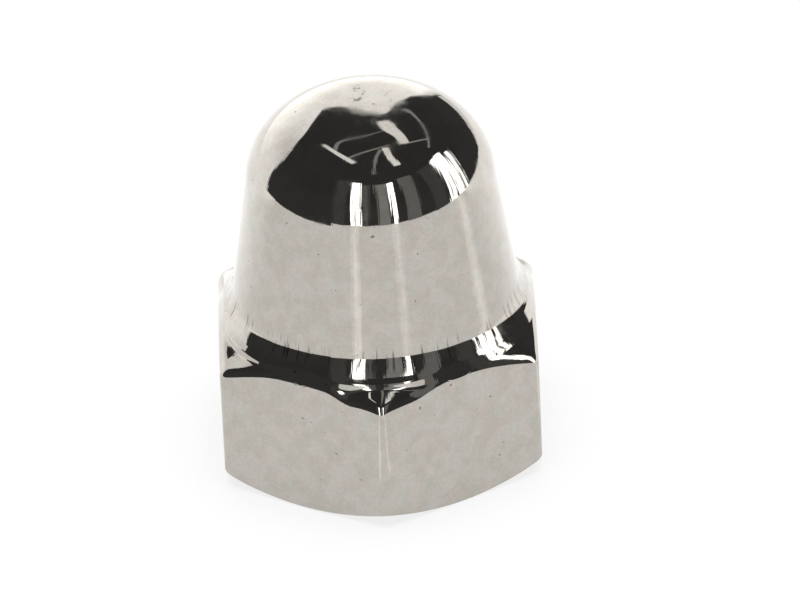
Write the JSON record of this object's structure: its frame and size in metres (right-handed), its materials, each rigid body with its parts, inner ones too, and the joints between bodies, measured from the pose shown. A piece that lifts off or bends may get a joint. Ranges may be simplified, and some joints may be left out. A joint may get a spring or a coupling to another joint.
{
  "type": "cap nut",
  "caption": "Hexagon cap nut, one solid piece: a closed tapered dome with a blunt crown, a low collar, and a blind threaded hole that covers a screw's end.",
  "frame": {"origin": "middle of the flat face that bears on the work, on the thread's axis", "axes": "+Z along the thread's axis towards the crown of the dome, -Y towards one corner of the hexagon"},
  "size_m": [0.01, 0.0114, 0.012],
  "materials": {
    "polished_metal": "polished, with fine tool lines and small handling marks"
  },
  "bodies": {
    "root": {"cap_nut": "polished_metal"}
  },
  "joints": []
}
